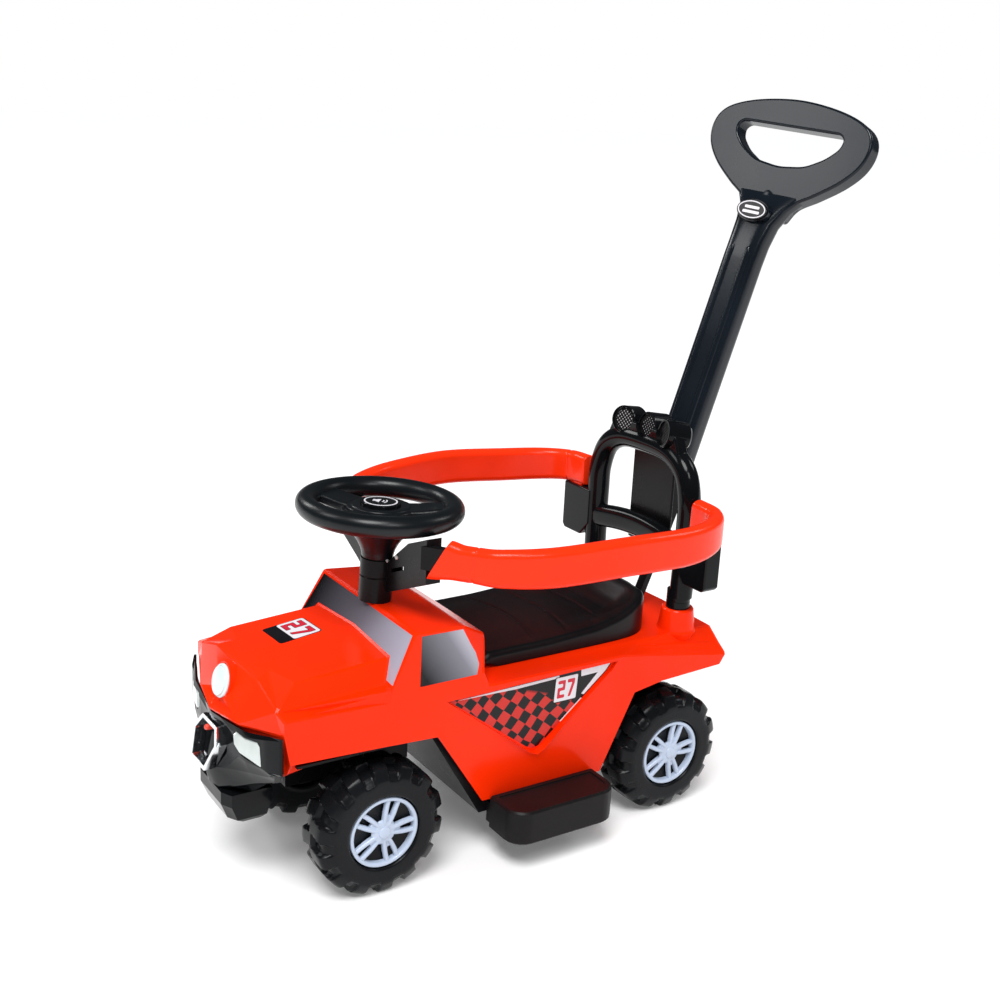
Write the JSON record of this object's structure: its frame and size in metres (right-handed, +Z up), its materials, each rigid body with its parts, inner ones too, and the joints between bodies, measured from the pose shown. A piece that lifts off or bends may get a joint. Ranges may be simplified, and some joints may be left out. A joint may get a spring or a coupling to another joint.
{
  "type": "foot-to-floor ride-on car",
  "caption": "Child's foot-to-floor ride-on car, off-road style, with steered front wheels, guard rails, backrest, lift-up seat over a toy box, and a leaning push handle.",
  "frame": {"origin": "middle of the bounding box's bottom face, on the floor under the car", "axes": "+Z up, +X to the car's left side, -Y towards the front of the car"},
  "size_m": [0.409, 0.8306, 0.8585],
  "materials": {
    "body_red": "gloss moulded polypropylene",
    "rail_red": "gloss moulded polypropylene",
    "bumper_black": "high gloss",
    "black_plastic": "semi gloss moulded polypropylene",
    "steering_black": "semi gloss",
    "handle_black": "gloss blow moulding",
    "seat_black": "satin",
    "lamp_grille_black": "semi gloss",
    "tyre_black": "satin blow-moulded polyethylene",
    "hubcap_silver": "pale bluish silver paint",
    "chrome_trim": "chrome plated plastic",
    "clear_lens": "clear moulded lens over a pale reflector",
    "white_lens": "white moulded lens",
    "zinc_steel": "bright zinc plated steel"
  },
  "bodies": {
    "car": {"body_shell": "body_red", "guardrail_left": "rail_red", "guardrail_right": "rail_red", "front_bumper": "bumper_black", "column_bracket": "black_plastic", "backrest": "black_plastic", "handle_socket": "black_plastic", "chassis": "black_plastic", "footboard_left": "black_plastic", "footboard_right": "black_plastic", "lamp_grille_left": "lamp_grille_black", "lamp_grille_middle": "lamp_grille_black", "lamp_grille_right": "lamp_grille_black", "grille_ring": "chrome_trim", "fog_lamp_left": "clear_lens", "fog_lamp_right": "clear_lens", "headlamp": "white_lens", "rear_axle": "zinc_steel", "seat_hinge_pin": "zinc_steel", "push_nut_rear_left": "zinc_steel", "push_nut_rear_right": "zinc_steel"},
    "steering": {"steering_wheel": "steering_black", "steering_shaft": "zinc_steel"},
    "horn": {"horn_button": "steering_black"},
    "knuckle_left": {"steering_knuckle_left": "zinc_steel", "kingpin_nut_left": "zinc_steel", "push_nut_front_left": "zinc_steel"},
    "knuckle_right": {"steering_knuckle_right": "zinc_steel", "kingpin_nut_right": "zinc_steel", "push_nut_front_right": "zinc_steel"},
    "tie": {"tie_rod": "zinc_steel"},
    "wheel_front_left": {"tyre_front_left": "tyre_black", "hubcap_front_left": "hubcap_silver"},
    "wheel_front_right": {"tyre_front_right": "tyre_black", "hubcap_front_right": "hubcap_silver"},
    "wheel_rear_left": {"tyre_rear_left": "tyre_black", "hubcap_rear_left": "hubcap_silver"},
    "wheel_rear_right": {"tyre_rear_right": "tyre_black", "hubcap_rear_right": "hubcap_silver"},
    "seat_lid": {"seat": "seat_black"},
    "handle": {"push_handle": "handle_black", "handle_badge": "handle_black"}
  },
  "joints": [
    {"name": "steering_turn", "type": "hinge", "parent": "car", "child": "steering", "pos_m": [0, -0.2033, 0.29348], "axis": [0, 0.0436, 0.999], "range_deg": [-32, 32]},
    {"name": "horn_press", "type": "slide", "parent": "steering", "child": "horn", "axis": [0, -0.0436, -0.999], "range_m": [0, 0.003], "stiffness_N_per_m": 400, "springref_m": -0.001},
    {"name": "knuckle_left_turn", "type": "hinge", "parent": "car", "child": "knuckle_left", "pos_m": [0.05, -0.2513, 0.07668], "axis": [0, 0, 1], "range_deg": [-21, 21]},
    {"name": "knuckle_right_turn", "type": "hinge", "parent": "car", "child": "knuckle_right", "pos_m": [-0.05, -0.2513, 0.07668], "axis": [0, 0, 1], "range_deg": [-21, 21]},
    {"name": "tie_rod_shift", "type": "slide", "parent": "car", "child": "tie", "axis": [1, 0, 0], "range_m": [-0.012, 0.012]},
    {"name": "seat_lid_open", "type": "hinge", "parent": "car", "child": "seat_lid", "pos_m": [0, -0.1013, 0.23448], "axis": [1, 0, 0], "range_deg": [0, 60]},
    {"name": "handle_pull", "type": "slide", "parent": "car", "child": "handle", "axis": [0, 0.32, 0.9474], "range_m": [0, 0.045]},
    {"name": "wheel_front_left_spin", "type": "hinge", "parent": "knuckle_left", "child": "wheel_front_left", "pos_m": [0.098, -0.2513, 0.07668], "axis": [1, 0, 0], "continuous": true},
    {"name": "wheel_front_right_spin", "type": "hinge", "parent": "knuckle_right", "child": "wheel_front_right", "pos_m": [-0.098, -0.2513, 0.07668], "axis": [1, 0, 0], "continuous": true},
    {"name": "wheel_rear_left_spin", "type": "hinge", "parent": "car", "child": "wheel_rear_left", "pos_m": [0.098, 0.1487, 0.07668], "axis": [1, 0, 0], "continuous": true},
    {"name": "wheel_rear_right_spin", "type": "hinge", "parent": "car", "child": "wheel_rear_right", "pos_m": [-0.098, 0.1487, 0.07668], "axis": [1, 0, 0], "continuous": true}
  ],
  "couplings": [
    {"joint": "knuckle_left_turn", "follows": "steering_turn", "ratio": 0.625},
    {"joint": "knuckle_right_turn", "follows": "steering_turn", "ratio": 0.625},
    {"joint": "tie_rod_shift", "follows": "steering_turn", "m_per_rad": -0.02}
  ]
}
